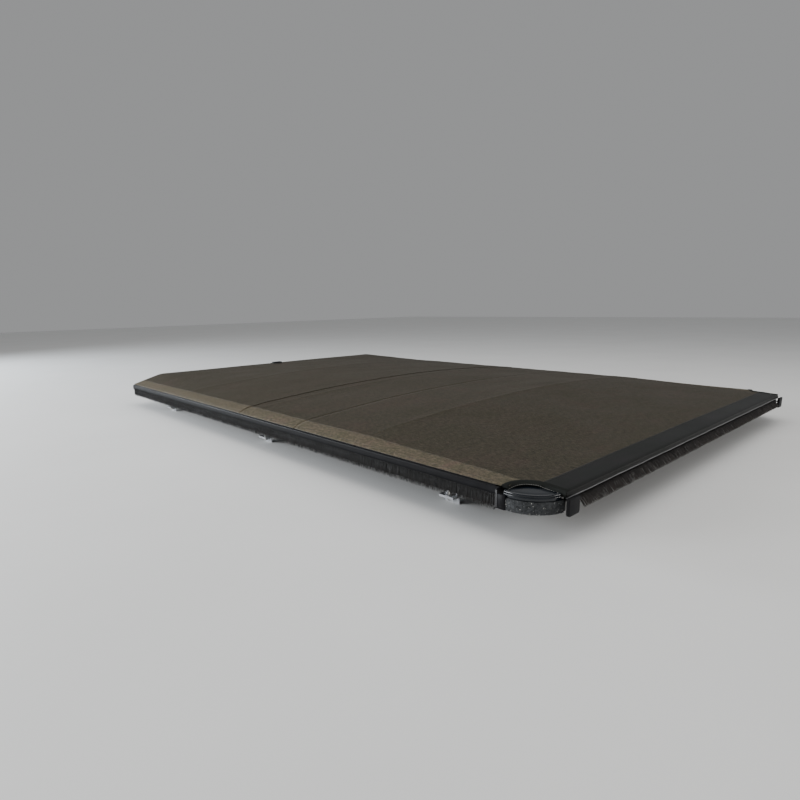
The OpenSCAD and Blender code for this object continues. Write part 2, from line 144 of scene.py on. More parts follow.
def corner_lift(x, y):
    """The cloth is carried up over each rear corner cap, most on the arch's diagonal."""
    du, dv = ARCH.x - abs(x), y + ARCH.y
    r = np.maximum(ARCH_R, np.hypot(du, dv))
    turn = np.degrees(np.arctan2(dv, du)) - 45
    return ARCH_LIFT * np.exp(-(r - ARCH_R) / (40 * MM)) * np.maximum(0, 1 - (turn / 70) ** 2)


def waves(x, y):
    """Slight looseness of stretched cloth: long waves, and short puckers along the hems and the seam."""
    inset = HALF_W - abs(x)
    hold = smooth(0, 90 * MM, inset)
    long = 0.7 * MM * np.sin(x * 9 + 2.1 * np.sin(y * 5.3)) * np.sin(y * 11 + 1.7 * x)
    cross = 0.45 * MM * np.sin(y * 38 + 3 * np.sin(x * 4.1)) * np.sin(x * 6.3 + 0.8)
    pucker = 0.5 * MM * np.sin(y * 62 + 2.5 * np.sin(y * 9.1)) * np.exp(-((inset - 62 * MM) / (22 * MM)) ** 2)
    seam = 0.55 * MM * np.sin(x * 95 + 3 * np.sin(x * 13)) * np.exp(-((y - SEAM_Y) / (16 * MM)) ** 2)
    bows = np.minimum.reduce([abs(y - b) for b in BOW_Y])
    return (long + cross) * hold * smooth(0, 60 * MM, bows) + pucker + seam * hold


def cloth_z(x, y):
    """Height of the cloth's upper face, rounded where it bends over the bows."""
    x, y = np.asarray(x, float), np.asarray(y, float)
    near = 5 * MM
    z = (spans(x, y - near) + 2 * spans(x, y) + spans(x, y + near)) / 4
    end = smooth(0, 2 * near, HALF_L - abs(y))
    z = mix(spans(x, y), z, end)
    rear = smooth(0, 60 * MM, y + HALF_L)
    ridge = sum(RIDGE_RISE * np.exp(-((y - b) / RIDGE_RUN) ** 2) for b in BOW_Y)
    ridge = ridge * smooth(0, 90 * MM, HALF_W - abs(x))
    return HEM_Z + z + ridge + corner_lift(x, y) + waves(x, y) * rear


# ---------------------------------------------------------------- mesh helpers


def new_mesh(name, verts, faces, smooth_shade=True):
    mesh = bpy.data.meshes.new(name)
    mesh.from_pydata([tuple(map(float, v)) for v in verts], [], faces)
    mesh.validate()
    mesh.shade_smooth() if smooth_shade else mesh.shade_flat()
    obj = bpy.data.objects.new(name, mesh)
    bpy.context.scene.collection.objects.link(obj)
    return obj


def dress(obj, material, body=None):
    for m in material if isinstance(material, (list, tuple)) else [material]:
        obj.data.materials.append(m)
    if body:
        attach(obj, body)
    return obj


def grid_faces(rows, cols, closed=False):
    span = cols if closed else cols - 1
    return [(r * cols + c, (r + 1) * cols + c, (r + 1) * cols + (c + 1) % cols, r * cols + (c + 1) % cols)
            for r in range(rows - 1) for c in range(span)]


def face_up(obj, toward=Vector((0, 0, 1))):
    """Turn the faces over if most of them look away from a direction."""
    total = sum((p.normal.dot(toward) * p.area for p in obj.data.polygons), 0.0)
    if total < 0:
        obj.data.flip_normals()


def loft(name, rings, closed=True, caps=True):
    """A skin through rings of points, each ring in the same order."""
    n, m = len(rings), len(rings[0])
    verts = [p for ring in rings for p in ring]
    faces = grid_faces(n, m, closed)
    if caps and closed:
        faces += [tuple(range(m)), tuple((n - 1) * m + k for k in reversed(range(m)))]
    obj = new_mesh(name, verts, faces)
    return obj


def recalc(obj):
    import bmesh

    bm = bmesh.new()
    bm.from_mesh(obj.data)
    bmesh.ops.recalc_face_normals(bm, faces=bm.faces)
    bm.to_mesh(obj.data)
    bm.free()
    return obj


def by_angle(obj, degrees=35):
    """Smooth shading broken at sharp edges."""
    obj.data.set_sharp_from_angle(angle=math.radians(degrees))
    return obj


# ---------------------------------------------------------------- material helpers


class Nodes:
    """A small builder for one material's node tree."""

    def __init__(self, name):
        self.material = bpy.data.materials.new(name)
        self.material.use_nodes = True
        self.tree = self.material.node_tree
        self.shader = self.tree.nodes["Principled BSDF"]

    def add(self, kind, **values):
        node = self.tree.nodes.new(kind)
        for key, value in values.items():
            if hasattr(node, key):
                setattr(node, key, value)
            else:
                node.inputs[key.replace("_", " ")].default_value = value
        return node

    def link(self, source, target):
        self.tree.links.new(source, target)

    def coords(self, output="Object", scale=(1, 1, 1)):
        texture = self.add("ShaderNodeTexCoord")
        mapping = self.add("ShaderNodeMapping")
        mapping.inputs["Scale"].default_value = scale
        self.link(texture.outputs[output], mapping.inputs["Vector"])
        return mapping.outputs["Vector"]

    def noise(self, vector, scale, detail=4, rough=0.55, distort=0.0):
        node = self.add("ShaderNodeTexNoise", Scale=scale, Detail=detail, Roughness=rough, Distortion=distort)
        self.link(vector, node.inputs["Vector"])
        return node.outputs["Fac"]

    def cells(self, vector, scale, feature="F1", spread=1.0):
        node = self.add("ShaderNodeTexVoronoi", feature=feature, Scale=scale, Randomness=spread)
        self.link(vector, node.inputs["Vector"])
        return node.outputs["Distance"]

    def ramp(self, value, stops, mode="LINEAR"):
        node = self.add("ShaderNodeValToRGB")
        ramp = node.color_ramp
        ramp.interpolation = mode
        while len(ramp.elements) < len(stops):
            ramp.elements.new(0.5)
        for element, (place, colour) in zip(ramp.elements, stops):
            element.position = place
            element.color = (*colour, 1) if hasattr(colour, "__len__") else (colour,) * 3 + (1,)
        self.link(value, node.inputs["Fac"])
        return node.outputs["Color"]

    def math(self, operation, a, b=0.0, c=0.0):
        node = self.add("ShaderNodeMath", operation=operation)
        for socket, value in zip(node.inputs, (a, b, c)):
            if hasattr(value, "is_linked"):
                self.link(value, socket)
            else:
                socket.default_value = value
        return node.outputs["Value"]

    def blend(self, factor, a, b, mode="MIX"):
        node = self.add("ShaderNodeMix", data_type="RGBA", blend_type=mode)
        for socket, value in ((node.inputs["Factor"], factor), (node.inputs[6], a), (node.inputs[7], b)):
            if hasattr(value, "is_linked"):
                self.link(value, socket)
            else:
                socket.default_value = (*value, 1) if hasattr(value, "__len__") else value
        return node.outputs[2]

    def bump(self, height, distance, strength=1.0, normal=None):
        node = self.add("ShaderNodeBump", Strength=strength, Distance=distance)
        self.link(height, node.inputs["Height"])
        if normal is not None:
            self.link(normal, node.inputs["Normal"])
        return node.outputs["Normal"]

    def set(self, **values):
        for key, value in values.items():
            socket = self.shader.inputs[key.replace("_", " ")]
            if hasattr(value, "is_linked"):
                self.link(value, socket)
            elif hasattr(value, "__len__"):
                socket.default_value = (*value, 1)
            else:
                socket.default_value = value
        return self.material


def vinyl(name, tints, roughness, grain, speck=0.0):
    """Coated cloth: crepe grain in crossing creases, mottled tint, soft scuffs."""
    n = Nodes(name)
    uv = n.coords("UV")
    wide = n.coords("UV", (1.0, 1.9, 1.0))
    warp = n.noise(wide, 210, 3, 0.6, 0.6)
    crease = n.cells(wide, 330, "F1")
    fine = n.noise(uv, 900, 3, 0.7)
    height = n.math("ADD", n.math("MULTIPLY", warp, 0.9), n.math("MULTIPLY", crease, 0.55))
    height = n.math("ADD", height, n.math("MULTIPLY", fine, 0.25))
    mottle = n.noise(uv, 7.0, 5, 0.62, 0.4)
    streak = n.noise(n.coords("UV", (9.0, 46.0, 1.0)), 1.0, 4, 0.6, 0.3)
    base = n.ramp(mottle, [(0.30, tints[0]), (0.50, tints[1]), (0.72, tints[2])])
    base = n.blend(n.math("MULTIPLY", n.ramp(streak, [(0.40, 0.0), (0.62, 1.0)]), 0.6), base, tints[3])
    fleck = n.noise(n.coords("UV", (1.0, 0.45, 1.0)), 165, 4, 0.68, 0.4)
    pale, dark = tuple(1.9 * c for c in tints[1]), tuple(0.42 * c for c in tints[1])
    base = n.blend(n.math("MULTIPLY", n.ramp(fleck, [(0.50, 0.0), (0.64, 1.0)]), 2.2 * speck), base, pale)
    base = n.blend(n.math("MULTIPLY", n.ramp(fleck, [(0.36, 1.0), (0.48, 0.0)]), 2.2 * speck), base, dark)
    dots = n.ramp(n.math("ADD", warp, n.math("MULTIPLY", fine, 0.35)), [(0.62, 0.0), (0.80, 1.0)])
    base = n.blend(n.math("MULTIPLY", dots, speck), base, tuple(3.2 * c for c in tints[1]))
    scuff = n.noise(uv, 3.1, 6, 0.68, 0.8)
    gloss = n.ramp(n.math("ADD", n.math("MULTIPLY", scuff, 0.6), n.math("MULTIPLY", warp, 0.4)),
                   [(0.30, roughness[0]), (0.75, roughness[1])])
    return n.set(Base_Color=base, Roughness=gloss, Normal=n.bump(height, grain, 0.9), Specular_IOR_Level=0.14)


def scrim():
    """Woven backing on the underside of the coated cloth."""
    n = Nodes("scrim_backing")
    uv = n.coords("UV")
    sep = n.add("ShaderNodeSeparateXYZ")
    n.link(uv, sep.inputs[0])
    over = n.math("SINE", n.math("MULTIPLY", sep.outputs["X"], 2 * math.pi / (1.6 * MM)))
    under = n.math("SINE", n.math("MULTIPLY", sep.outputs["Y"], 2 * math.pi / (1.6 * MM)))
    weave = n.math("MULTIPLY", over, under)
    tint = n.ramp(n.noise(uv, 30, 4), [(0.35, (0.050, 0.050, 0.050)), (0.7, (0.085, 0.083, 0.080))])
    base = n.blend(n.math("MULTIPLY_ADD", weave, 0.2, 0.2), tint, (0.02, 0.02, 0.02))
    return n.set(Base_Color=base, Roughness=0.88, Normal=n.bump(weave, 0.25 * MM, 0.8))


def coated_metal(name="powder_coat", tint=(0.0035, 0.0035, 0.0045), rough=(0.38, 0.54), scratch=0.16):
    """Black powder coat: orange peel, fine scratches along the length, dust in patches."""
    n = Nodes(name)
    peel = n.noise(n.coords("Object"), 620, 3, 0.55)
    along = n.noise(n.coords("Object", (260, 4, 260)), 1.0, 5, 0.7)
    dust = n.noise(n.coords("Object"), 21, 6, 0.7, 0.5)
    base = n.ramp(dust, [(0.45, tint), (0.85, tuple(2.6 * c for c in tint))])
    base = n.blend(n.math("MULTIPLY", n.ramp(along, [(0.66, 0.0), (0.72, 1.0)]), scratch), base,
                   (0.10, 0.10, 0.105))
    gloss = n.ramp(n.math("ADD", n.math("MULTIPLY", dust, 0.7), n.math("MULTIPLY", peel, 0.3)),
                   [(0.35, rough[0]), (0.75, rough[1])])
    return n.set(Base_Color=base, Roughness=gloss, Normal=n.bump(peel, 0.05 * MM, 0.5),
                 Specular_IOR_Level=0.14)


def plastic(name, tint, rough, bump=0.12, grain=700, dusty=0.35, coat=0.0, shine=0.14):
    """Moulded plastic: fine pitted texture, flow marks and a little dust."""
    n = Nodes(name)
    obj = n.coords("Object")
    pit = n.cells(obj, grain)
    fine = n.noise(obj, grain * 0.5, 3, 0.6)
    flow = n.noise(n.coords("Object", (30, 30, 90)), 1.0, 5, 0.6, 0.7)
    height = n.math("ADD", n.math("MULTIPLY", pit, 0.5), n.math("MULTIPLY", fine, 0.5))
    base = n.ramp(flow, [(0.35, tint), (0.75, tuple(1.7 * c for c in tint))])
    dust = n.ramp(n.noise(obj, 55, 6, 0.75), [(0.58, 0.0), (0.82, 1.0)])
    base = n.blend(n.math("MULTIPLY", dust, dusty), base, (0.16, 0.155, 0.145))
    gloss = n.ramp(n.math("ADD", n.math("MULTIPLY", flow, 0.5), n.math("MULTIPLY", fine, 0.5)),
                   [(0.3, rough[0]), (0.75, rough[1])])
    return n.set(Base_Color=base, Roughness=gloss, Normal=n.bump(height, bump * MM, 0.6), Coat_Weight=coat,
                 Coat_Roughness=0.12, Specular_IOR_Level=shine)


def skirt_rubber():
    """Rough rubber with pale chips and dust."""
    n = Nodes("skirt_rubber")
    obj = n.coords("Object")
    lumps = n.noise(obj, 160, 5, 0.7, 0.5)
    chips = n.cells(obj, 240)
    rare = n.noise(obj, 70, 4, 0.7)
    base = n.ramp(lumps, [(0.38, (0.004, 0.005, 0.006)), (0.66, (0.050, 0.054, 0.058))])
    spots = n.math("MULTIPLY", n.ramp(chips, [(0.16, 1.0), (0.26, 0.0)]),
                   n.ramp(rare, [(0.50, 0.0), (0.58, 1.0)]))
    base = n.blend(spots, base, (0.55, 0.54, 0.50))
    return n.set(Base_Color=base, Roughness=0.8, Normal=n.bump(lumps, 0.9 * MM, 0.9))


def bristle(name, painted_shade_scale=1.0):
    """Bristles: each strand's own tone, with painted shade that darkens every strand toward its root."""
    n = Nodes(name)
    shade = n.add("ShaderNodeAttribute", attribute_name="strand").outputs["Fac"]
    streak = n.noise(n.coords("Object", (900, 900, 30)), 1.0, 3, 0.6)
    value = n.math("ADD", n.math("MULTIPLY", shade, 0.75), n.math("MULTIPLY", streak, 0.25))
    tones = [(0.10, (0.006, 0.005, 0.005)), (0.40, (0.022, 0.018, 0.016)), (0.62, (0.060, 0.049, 0.043)),
             (0.90, (0.22, 0.20, 0.17))]
    # The scale argument darkens the whole pile evenly; below one it is painted shade.
    base = n.ramp(value, [(place, tuple(painted_shade_scale * c for c in tone)) for place, tone in tones])
    return n.set(Base_Color=base, Roughness=0.55, Normal=n.bump(streak, 0.15 * MM, 0.5))


def thread(name, tint):
    """Twisted sewing thread."""
    n = Nodes(name)
    twist = n.add("ShaderNodeTexWave", Scale=700.0, Distortion=1.0)
    n.link(n.coords("Object", (1, 1, 0.6)), twist.inputs["Vector"])
    base = n.ramp(twist.outputs["Fac"], [(0.2, tuple(0.6 * c for c in tint)), (0.8, tint)])
    return n.set(Base_Color=base, Roughness=0.6, Normal=n.bump(twist.outputs["Fac"], 0.15 * MM, 0.7))


def bare_metal(name, tint, rough, stretch=(4, 400, 400)):
    """Drawn or cast metal: fine lines, stains and a spread of roughness."""
    n = Nodes(name)
    lines = n.noise(n.coords("Object", stretch), 1.0, 5, 0.7)
    stain = n.noise(n.coords("Object"), 34, 6, 0.7, 0.6)
    base = n.ramp(stain, [(0.35, tint), (0.8, tuple(0.62 * c for c in tint))])
    gloss = n.ramp(n.math("ADD", n.math("MULTIPLY", lines, 0.6), n.math("MULTIPLY", stain, 0.4)),
                   [(0.3, rough[0]), (0.75, rough[1])])
    return n.set(Base_Color=base, Metallic=1.0, Roughness=gloss, Normal=n.bump(lines, 0.03 * MM, 0.4))


def webbing():
    """Woven strap: herringbone ribs across its width."""
    n = Nodes("strap_webbing")
    obj = n.coords("Object")
    sep = n.add("ShaderNodeSeparateXYZ")
    n.link(obj, sep.inputs[0])
    run = n.math("ADD", sep.outputs["Y"], n.math("MULTIPLY", sep.outputs["Z"], -1.0))
    ribs = n.math("SINE", n.math("MULTIPLY", run, 2 * math.pi / (2.2 * MM)))
    ends = n.math("SINE", n.math("MULTIPLY", sep.outputs["X"], 2 * math.pi / (1.5 * MM)))
    weave = n.math("MULTIPLY", ribs, ends)
    base = n.ramp(n.math("MULTIPLY_ADD", weave, 0.5, 0.5),
                  [(0.1, (0.006, 0.006, 0.007)), (0.9, (0.030, 0.030, 0.032))])
    return n.set(Base_Color=base, Roughness=0.8, Normal=n.bump(weave, 0.3 * MM, 0.8))


def floor_paint():
    n = Nodes("floor")
    base = n.ramp(n.noise(n.coords("Object"), 2.2, 4), [(0.3, (0.80, 0.80, 0.79)), (0.8, (0.84, 0.84, 0.83))])
    return n.set(Base_Color=base, Roughness=0.75)


MAIN = ((0.025, 0.022, 0.013), (0.032, 0.026, 0.018), (0.042, 0.027, 0.021), (0.022, 0.023, 0.012))
# The side hem's cloth is the main cloth made 2.2 times lighter: painted light for the hem's outward slope.
HEM_PAINTED_LIGHT = tuple(tuple(2.2 * c for c in t) for t in MAIN)
BLACK = tuple((0.24 * t[0], 0.30 * t[1], 0.42 * t[2]) for t in MAIN)
M_VINYL = vinyl("vinyl_main", MAIN, (0.44, 0.64), 0.60 * MM, 0.36)
M_HEM_PAINTED_LIGHT = vinyl("vinyl_side_hem_painted_light", HEM_PAINTED_LIGHT, (0.40, 0.55), 0.40 * MM, 0.34)
M_REAR = vinyl("vinyl_rear_hem", BLACK, (0.38, 0.50), 0.08 * MM, 0.0)
M_SCRIM = scrim()
M_COAT = coated_metal()
M_CLIP = plastic("clip_plastic", (0.002, 0.002, 0.003), (0.34, 0.54), 0.05, 500, 0.06)
M_MOULD = plastic("moulded_black", (0.0035, 0.0035, 0.0045), (0.45, 0.65), 0.14, 600, 0.14)
M_GLOSS = plastic("gloss_cap", (0.003, 0.005, 0.008), (0.18, 0.28), 0.03, 300, 0.03, 0.35, 0.35)
M_SKIRT = skirt_rubber()
M_RUBBER = plastic("seal_rubber", (0.006, 0.006, 0.006), (0.6, 0.8), 0.10, 400, 0.12)
M_BRISTLE = bristle("bristle_pile")
# The side seals' pile is the same pile 0.35 times as dark: painted shade.
M_BRISTLE_SIDE_PAINTED_SHADE = bristle("bristle_side_painted_shade", 0.35)
M_TUBE = bare_metal("bow_aluminium", (0.62, 0.63, 0.64), (0.28, 0.45))
M_CAST = bare_metal("clamp_alloy", (0.52, 0.53, 0.55), (0.38, 0.55), (300, 300, 300))
M_ZINC = bare_metal("zinc_steel", (0.62, 0.61, 0.57), (0.25, 0.42), (500, 500, 40))
M_WEB = webbing()
# Pale grey: on the rear hem's welt it is a painted highlight; on the end plates it makes pale strips along the
# outer corners.
M_PALE_EDGE_AND_PAINTED_HIGHLIGHT = plastic("pale_edge_and_painted_highlight", (0.16, 0.16, 0.165), (0.30, 0.42), 0.03, 400, 0.10)
M_THREAD_PALE = thread("thread_pale", (0.30, 0.29, 0.27))
M_THREAD_DARK = thread("thread_dark", (0.055, 0.053, 0.050))

# ---------------------------------------------------------------- camera, light and floor


def make_camera():
    """At the photograph's viewing angle, level with a person's chest beside the rear left corner."""
    turn, down, roll = math.radians(42.2), math.radians(12.8), math.radians(-1.1)
    ahead = Vector((math.sin(turn) * math.cos(down), math.cos(turn) * math.cos(down), -math.sin(down)))
    right = Vector((math.cos(turn), -math.sin(turn), 0))
    up = right.cross(ahead)
    x_axis = right * math.cos(roll) + up * math.sin(roll)
    y_axis = up * math.cos(roll) - right * math.sin(roll)
    data = bpy.data.cameras.new("camera")
    data.sensor_width, data.lens = 36.0, 24.3
    data.shift_x, data.shift_y = 0.015, 0.035
    camera = bpy.data.objects.new("camera", data)
    bpy.context.scene.collection.objects.link(camera)
    matrix = Matrix((x_axis, y_axis, -ahead)).transposed().to_4x4()
    matrix.translation = Vector((-1.674, -1.648, HEM_Z + 0.355))
    camera.matrix_world = matrix
    bpy.context.scene.camera = camera


def area_light(name, place, target, size, power, colour=(1, 1, 1)):
    data = bpy.data.lights.new(name, "AREA")
    data.shape, data.size, data.size_y = "RECTANGLE", size[0], size[1]
    data.energy, data.color = power, colour
    light = bpy.data.objects.new(name, data)
    light.location = place
    light.rotation_euler = (Vector(target) - Vector(place)).to_track_quat("-Z", "Y").to_euler()
    bpy.context.scene.collection.objects.link(light)


def make_light():
    area_light("ceiling", (-0.6, -0.4, 3.4), (0, 0, 0), (4.5, 3.5), 75, (1.0, 0.985, 0.96))
    area_light("left_key", (-4.4, 1.9, 1.15), (-0.3, 0.3, 0.12), (2.4, 1.0), 170, (0.96, 0.98, 1.0))
    area_light("front_left", (-2.9, 4.4, 1.3), (-0.6, 0.8, 0.12), (2.2, 1.0), 170, (0.86, 0.93, 1.0))
    area_light("rear_fill", (0.9, -4.6, 1.5), (-0.5, -0.9, 0.1), (1.8, 0.7), 55, (1.0, 0.98, 0.95))
    world = bpy.data.worlds.new("studio")
    world.use_nodes = True
    world.node_tree.nodes["Background"].inputs["Color"].default_value = (0.93, 0.94, 0.95, 1)
    world.node_tree.nodes["Background"].inputs["Strength"].default_value = 0.34
    bpy.context.scene.world = world


def make_floor():
    size, n = 14.0, 24
    line = np.linspace(-size, size, n)
    verts = [(x, y, cad_box[0].z) for x in line for y in line]
    floor = new_mesh("floor", verts, grid_faces(n, n))
    face_up(floor)
    floor.data.materials.append(floor_paint())


# ---------------------------------------------------------------- cloth


def column_insets():
    """Distances in from the side hem's edge, closer where the cloth bends and at the hem's step."""
    fine = [0, 1.2, 3, 6, 10, 15, 21, 28, 36, 43, 48, 49.6, 50.6, 52, 56, 62, 70, 80, 91, 103]
    inset = [d * MM for d in fine]
    rest = np.linspace(inset[-1], HALF_W, 62)[1:]
    return inset + list(rest)


def row_marks(y0, y1, step=13 * MM):
    """Rows from y0 back to y1, with extra ones close to each bow."""
    marks = set(np.linspace(y0, y1, max(2, int(abs(y0 - y1) / step))).round(6))
    for b in BOW_Y:
        marks = {m for m in marks if abs(m - b) > 11 * MM}
        marks |= {b + d * MM for d in (-10, -6, -3, 0, 3, 6, 10) if y1 < b + d * MM < y0}
    return sorted(marks, reverse=True)


def cut_line(start=4, n=30):
    """The cut over a corner cap, from the side hem round and straight back to the rear edge.

    Each entry holds the distance out, the place along, and the direction in over the cloth.
    """
    line = []
    for k in range(n + 1):
        t = math.radians(mix(start, 90, k / n))
        line.append((ARCH.x - ARCH_R * math.sin(t), -ARCH.y + ARCH_R * math.cos(t),
                     (-math.sin(t), math.cos(t))))
    back = HALF_L - ARCH.y
    return line + [(ARCH.x - ARCH_R, -ARCH.y - back * k / 6, (-1.0, 0.0)) for k in range(1, 7)]


def sheet_rows(y0, y1, cut):
    rows = [(y, HALF_W) for y in row_marks(y0, y1)]
    if cut:
        rows += [(y, u) for u, y, _ in cut_line()]
    return rows


def wrap_rows():
    """The rear hem's turn over the strip's rolled lip: (y, z), from the edge down."""
    lo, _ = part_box("rear_clip")
    lip_r = 4.5 * MM
    y, z = lo.y + lip_r, lo.z + lip_r
    r = lip_r + 0.3 * MM + CLOTH_T
    turn = [(y - r * math.cos(a), z + r * math.sin(a))
            for a in np.radians([38, 24, 12, 0, -14, -28, -44, -60, -76])]
    return [(-HALF_L - 0.5 * MM, HEM_Z - 0.4 * MM), (-HALF_L - 0.6 * MM, HEM_Z - 1.8 * MM)] + turn


def fold(obj):
    """Bakes the object's placement into its mesh; nothing is bent."""
    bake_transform(obj)


def make_sheet(name, y0, y1, lip=0.0, rear=False):
    """One length of the cover. lip raises its last rows over the next length."""
    insets = column_insets()
    across = [-(HALF_W - d) for d in insets] + [HALF_W - d for d in insets[-2::-1]]
    rows = sheet_rows(y0, -ARCH.y + ARCH_R + 0.6 * MM if rear else y1, rear)
    verts, uvs = [], []
    for y, limit in rows:
        if limit == HALF_W:
            xs = np.array(across)
        else:
            # Only the columns near the cut are squeezed in toward it
            share = [max(0, abs(x) - LOOSE_FROM) / (HALF_W - LOOSE_FROM) for x in across]
            xs = np.array([math.copysign(abs(x) if abs(x) < LOOSE_FROM else mix(LOOSE_FROM, limit, t), x)
                           for x, t in zip(across, share)])
        zs = cloth_z(xs, np.full_like(xs, y))
        side = smooth(SIDE_HEM + 0.8 * MM, SIDE_HEM - 0.8 * MM, HALF_W - abs(xs)) if y < HALF_L else 0
        back = smooth(REAR_HEM + 1.0 * MM, REAR_HEM - 1.0 * MM, y + HALF_L)
        edges = smooth(0, 6 * MM, HALF_W - abs(xs)) * smooth(0, 4 * MM, y + HALF_L)
        zs = zs + HEM_STEP * np.maximum(side, back) * edges
        if lip:
            zs = zs + lip * smooth(16 * MM, 4 * MM, y - y1)
        verts += [(x, y, z) for x, z in zip(xs, zs)]
        uvs += [(x, y) for x in xs]
    if rear:
        run = -HALF_L
        last = verts[-len(across):]
        py, pz = -HALF_L, HEM_Z
        for y, z in wrap_rows():
            run -= math.hypot(y - py, z - pz)
            py, pz = y, z
            verts += [(v[0], y, z) for v in last]
            uvs += [(v[0], run) for v in last]
    cols = len(across)
    obj = new_mesh(name, verts, grid_faces(len(verts) // cols, cols))
    face_up(obj)
    layer = obj.data.uv_layers.new(name="cloth")
    for loop in obj.data.loops:
        layer.data[loop.index].uv = uvs[loop.vertex_index]
    for face in obj.data.polygons:
        x = sum(abs(verts[v][0]) for v in face.vertices) / len(face.vertices)
        y = sum(verts[v][1] for v in face.vertices) / len(face.vertices)
        if y < -HALF_L + REAR_HEM:
            face.material_index = 2
        # The side hem takes the lighter cloth, which is painted light.
        elif x > HALF_W - SIDE_HEM - 0.5 * MM:
            face.material_index = 1
    dress(obj, [M_VINYL, M_HEM_PAINTED_LIGHT, M_REAR, M_SCRIM])
    thick = obj.modifiers.new("thickness", "SOLIDIFY")
    thick.thickness, thick.offset = CLOTH_T, -1
    thick.material_offset = 3
    fold(obj)
    return obj


def make_cloth():
    over = 14 * MM
    front = make_sheet("cover_front", HALF_L, SEAM_Y,
                       lip=1.5 * MM)
    middle = make_sheet("cover_middle", SEAM_Y + over, SPLIT_Y)
    rear = make_sheet("cover_rear", SPLIT_Y, -HALF_L,
                      rear=True)
    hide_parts("cover_panel_1", "cover_panel_2")
    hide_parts("cover_panel_3")
    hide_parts("cover_panel_4")
    return front, middle, rear


def stitch_rows(name, paths, material, bodies, bend_at=None, length=3.6 * MM, pitch=5.2 * MM, r=0.42 * MM):
    """Rows of single stitches: each is a small rounded bar lying along its path."""
    verts, faces = [], []
    sides = 6
    for path in paths:
        points = [Vector(p) for p in path]
        steps = [(b - a).length for a, b in zip(points, points[1:])]
        total = sum(steps)
        for k in range(int(total / pitch)):
            place = (k + 0.5) * pitch
            seg = 0
            while seg < len(steps) - 1 and place > steps[seg]:
                place -= steps[seg]
                seg += 1
            along = (points[seg + 1] - points[seg]).normalized()
            centre = points[seg] + along * place
            across = along.cross(Vector((0, 0, 1))).normalized()
            up = across.cross(along)
            base = len(verts)
            for offset, size in ((-0.5, 0.25), (-0.36, 0.9), (0.36, 0.9), (0.5, 0.25)):
                for s in range(sides):
                    a = 2 * math.pi * s / sides
                    round_it = (across * math.cos(a) + up * math.sin(a)) * r * size
                    verts.append(centre + along * offset * length + round_it)
            for ring in range(3):
                for s in range(sides):
                    a, b = base + ring * sides + s, base + ring * sides + (s + 1) % sides
                    faces.append((a, b, b + sides, a + sides))
            faces.append(tuple(base + s for s in reversed(range(sides))))
            faces.append(tuple(base + 3 * sides + s for s in range(sides)))
    obj = new_mesh(name, verts, faces)
    dress(obj, material, bodies if isinstance(bodies, str) else None)
    if bend_at is not None:
        fold(obj)
    return obj


def side_line(side, inset, y0, y1, lift):
    ys = np.arange(y0, y1, -12 * MM)
    xs = np.full_like(ys, side * (HALF_W - inset))
    return [(x, y, z + lift) for x, y, z in zip(xs, ys, cloth_z(xs, ys))]


def make_stitching():
    """Two rows along each side hem, one along the seam, one along the rear hem."""
    rise = HEM_STEP + 0.15 * MM
    lengths = [("front", HALF_L - 8 * MM, SEAM_Y + 2 * MM, ("frame", "span_2"), BOW_Y[0]),
               ("middle", SEAM_Y - 2 * MM, SPLIT_Y, ("span_2", "span_3"), BOW_Y[1]),
               ("rear", SPLIT_Y, -HALF_L + 122 * MM, ("span_3", "span_4"), BOW_Y[2])]
    for label, y0, y1, bodies, bow in lengths:
        paths = [side_line(s, inset, y0, y1, rise) for s in (-1, 1) for inset in (8 * MM, SIDE_HEM - 4 * MM)]
        stitch_rows(f"hem_stitches_{label}", paths, M_THREAD_DARK, bodies, bow)
    xs = np.arange(-HALF_W + 54 * MM, HALF_W - 54 * MM, 12 * MM)
    zs = cloth_z(xs, np.full_like(xs, SEAM_Y + 5 * MM)) + 1.6 * MM
    stitch_rows("seam_stitches", [[(x, SEAM_Y + 5 * MM, z) for x, z in zip(xs, zs)]], M_THREAD_DARK, "span_2")
    y = -HALF_L + REAR_HEM - 5 * MM
    xs = np.arange(-HALF_W + 74 * MM, HALF_W - 74 * MM, 12 * MM)
    zs = cloth_z(xs, np.full_like(xs, y)) + rise
    stitch_rows("rear_hem_stitches", [[(x, y, z) for x, z in zip(xs, zs)]], M_THREAD_DARK, "span_4")


